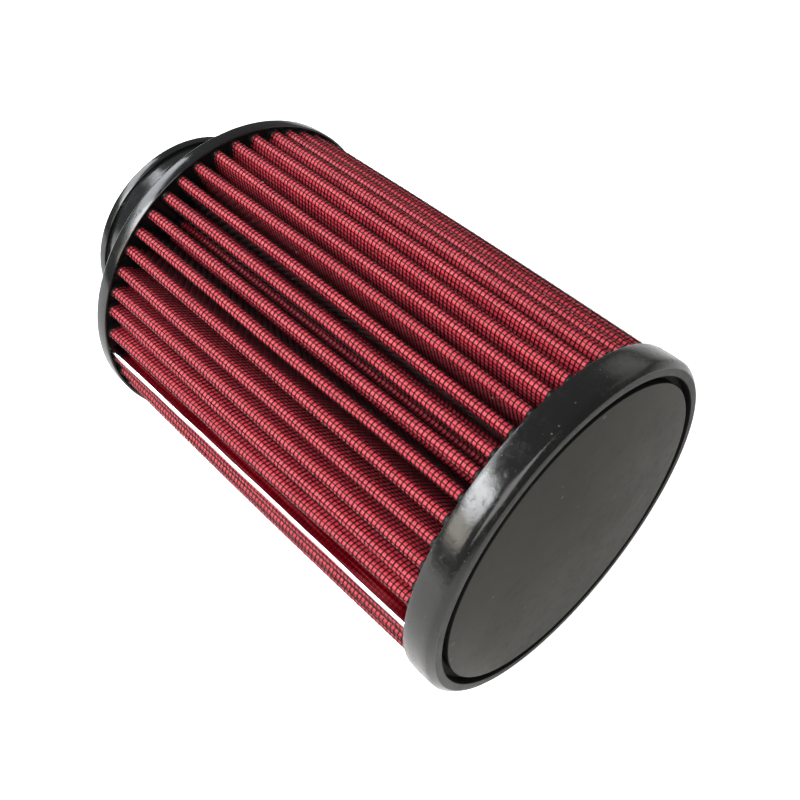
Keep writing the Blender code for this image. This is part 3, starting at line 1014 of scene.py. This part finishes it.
creep = {
    "openReach": 0.80 * mm,      # how far past each ring's edge the potting comes
    "closedReach": 1.45 * mm,
    "ragged": 0.65 * mm,
    # four rows of points: how far each lies behind the ragged edge, and how far over the wires' middle
    "rowsBack": (0, 0.22 * mm, 0.55 * mm, 1.0),
    "rowLifts": (-0.30 * mm, 0.18 * mm, 0.30 * mm, 0.33 * mm),
    "seed": 23,
}
creepRubber = mouldedRubber("roughPotting", {
    "colour": (0.006, 0.0065, 0.006), "scuffColour": (0.05, 0.055, 0.045), "gloss": 0.34, "dull": 0.6,
    "Patch Scale": 300.0, "Scratch Scale": 500.0, "Speck Scale": 1500.0, "Speck Rarity": 0.92,
    "bump": 0.5, "specular": 0.2})


def buildPottingCreep(name, slot, node, atEnd):  # where the moulding has crept up into the mesh
    deselectAll()
    columns = cellsRound * 2
    rows = len(creep["rowsBack"]) - 1
    bpy.ops.mesh.primitive_grid_add(x_subdivisions=rows, y_subdivisions=columns, size=1)
    strip = bpy.context.object
    strip.name = strip.data.name = name
    draw = np.random.default_rng(creep["seed"] + atEnd)
    rough = draw.uniform(-1, 1, columns + 1)
    slow = np.interp(np.arange(columns + 1), np.arange(0, columns + 9, 8),
                     draw.uniform(-1, 1, columns // 8 + 2))
    flat = points(strip)
    column = np.rint((flat[:, 1] + 0.5) * columns).astype(int)
    row = np.rint((flat[:, 0] + 0.5) * rows).astype(int)
    hidden = packHigh.x - closedLow.x if atEnd else openHigh.x - packLow.x
    reach = hidden + creep["closedReach" if atEnd else "openReach"]
    reach = reach + creep["ragged"] * (0.45 * rough[column] + 0.55 * slow[column])
    inwards = np.maximum(reach - np.array(creep["rowsBack"])[row], 0)
    flat[:, 0] = (flatLength - inwards) if atEnd else inwards
    flat[:, 1] = (flat[:, 1] + 0.5) * flatWidth
    flat[:, 2] = np.array(creep["rowLifts"])[row]
    setPoints(strip, flat)
    if not atEnd:
        editAll(strip)
        bpy.ops.mesh.flip_normals()
        leaveEdit()
    makeActive(strip)
    bpy.ops.object.shade_smooth()
    foldIntoPleats(strip)
    onFilter(strip, slot, creepRubber, node)


clip = {
    "width": 2.35 * mm,
    "depth": 8.5 * mm,
    "wall": 0.35 * mm,
    "corner": 0.45 * mm,
    "crown": 0.06 * mm,      # the crown's middle stands this much higher
    "cuts": 60,
    "wobble": 0.10 * mm,
    "seed": 11,
}


def buildSeamClip():
    deselectAll()
    length = packHigh.x - packLow.x
    top = packHigh.z - clip["wall"]
    bpy.ops.mesh.primitive_plane_add(size=1)
    strip = bpy.context.object
    strip.name = strip.data.name = "seamClip"
    strip.scale = (length, clip["width"] - clip["wall"], 1)
    strip.location = (packLow.x + length / 2, 0, top)
    settle(strip)
    halfWidth = (clip["width"] - clip["wall"]) / 2
    pick(strip, "EDGE", lambda e: abs(abs(edgeMiddle(strip, e).y) - halfWidth) < 1e-6)
    bpy.ops.mesh.extrude_region_move(TRANSFORM_OT_translate={"value": (0, 0, -clip["depth"])})
    bpy.ops.mesh.select_all(action="SELECT")
    bpy.ops.mesh.remove_doubles(threshold=1e-7)
    pick(strip, "EDGE", lambda e: abs(edgeMiddle(strip, e).z - top) < 1e-6
         and abs(abs(edgeMiddle(strip, e).y) - halfWidth) < 1e-6)
    bpy.ops.mesh.bevel(offset=clip["corner"], segments=4)
    bpy.ops.mesh.select_all(action="SELECT")
    bpy.ops.mesh.bisect(plane_co=(0, 0, 0), plane_no=(0, 1, 0))
    for cut in range(1, clip["cuts"]):
        bpy.ops.mesh.select_all(action="SELECT")
        spot = packLow.x + length * cut / clip["cuts"]
        bpy.ops.mesh.bisect(plane_co=(spot, 0, 0), plane_no=(1, 0, 0))
    bpy.ops.mesh.select_all(action="SELECT")
    bpy.ops.mesh.normals_make_consistent(inside=False)
    leaveEdit()
    draw = random.Random(clip["seed"])
    wave = 6.28   # a full turn
    phases = [draw.uniform(0, wave) for i in range(4)]
    for vertex in strip.data.vertices:  # hand-crimped, so the edges aren't quite straight
        t = (vertex.co.x - packLow.x) / length
        lean = sum(math.sin(wave * t * (i + 1.5) + phases[i]) / (i + 1) for i in range(4))
        vertex.co.y += clip["wobble"] * lean * 0.6
        if abs(vertex.co.y) < 0.6 * halfWidth and vertex.co.z > top - 0.1 * mm:
            vertex.co.z += clip["crown"]
        vertex.co.z += clip["wobble"] * 0.4 * math.sin(wave * t * 5 + phases[2])
    modifier(strip, "SOLIDIFY", thickness=clip["wall"], offset=0, use_even_offset=True)
    strip.rotation_euler = (math.pi / 2 - clipAngle, 0, 0)
    settle(strip)
    spots = points(strip)
    radius, angle = np.hypot(spots[:, 1], spots[:, 2]), np.arctan2(spots[:, 2], -spots[:, 1])
    angle = angle + twisted(clipAngle, (spots[:, 0] - packLow.x) / length)
    setPoints(strip, np.stack((spots[:, 0], -np.cos(angle) * radius, np.sin(angle) * radius), 1))
    bpy.ops.object.shade_smooth_by_angle(angle=math.radians(30))
    onFilter(strip, "seam_clip_aluminium", clipMetal, "seam_clip")
    print("seam clip crimped")


buildOpenEnd()
buildClosedEnd()
buildEndPlate()
buildBubbles()
buildSeamClip()
buildInnerPlies()
buildInnerScreen()
buildOuterGauze()
buildOuterScreen()
buildPottingCreep("closedPotting", "closed_end_polyurethane", "closed_end_moulding", True)
buildPottingCreep("openPotting", "open_end_polyurethane", "open_end_moulding", False)
print("potting crept into the mesh at both ends")
